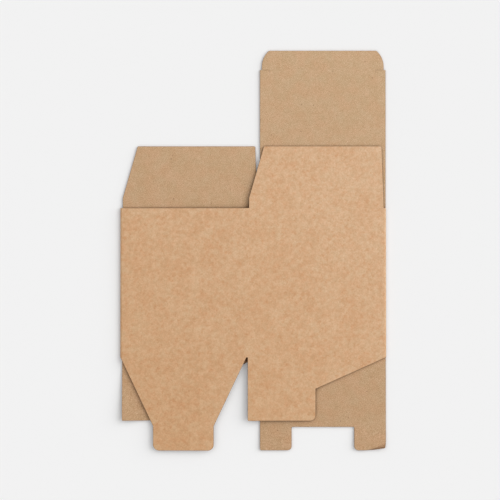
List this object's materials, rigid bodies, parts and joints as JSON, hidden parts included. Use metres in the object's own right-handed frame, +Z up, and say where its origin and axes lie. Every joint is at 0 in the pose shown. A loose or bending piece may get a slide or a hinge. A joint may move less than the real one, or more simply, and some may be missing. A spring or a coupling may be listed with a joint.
{
  "type": "flattened cardboard box",
  "caption": "Tuck-top carton with a snap-lock bottom, folded flat: a glued tube of kraft board with its lid, dust flaps and lock flaps spread out.",
  "frame": {"origin": "centre of the flat carton's outline, on the table", "axes": "+X across the flat tube from the front panel's fold to the back panel's fold, +Y from the bottom flaps to the lid, +Z up from the table"},
  "size_m": [0.1994, 0.3002, 0.0048],
  "materials": {
    "kraft_board": "matte"
  },
  "bodies": {
    "blank": {"carton_blank": "kraft_board"},
    "front_lock": {"front_lock_flap": "kraft_board"},
    "side_lock": {"side_lock_flap": "kraft_board"},
    "side_dust": {"side_dust_flap": "kraft_board"}
  },
  "joints": [
    {"name": "front_lock_crease", "type": "hinge", "parent": "blank", "child": "front_lock", "pos_m": [-0.00425, -0.0803, 0.0048], "axis": [-0.9999, 0, -0.016], "range_deg": [0, 175]},
    {"name": "side_lock_crease", "type": "hinge", "parent": "blank", "child": "side_lock", "pos_m": [-0.00425, -0.0803, 0.0048], "axis": [-0.9999, 0, 0.0147], "range_deg": [0, 175]},
    {"name": "side_dust_crease", "type": "hinge", "parent": "blank", "child": "side_dust", "pos_m": [-0.00425, 0.0316, 0.0048], "axis": [0.9999, 0, -0.0147], "range_deg": [0, 175]}
  ]
}
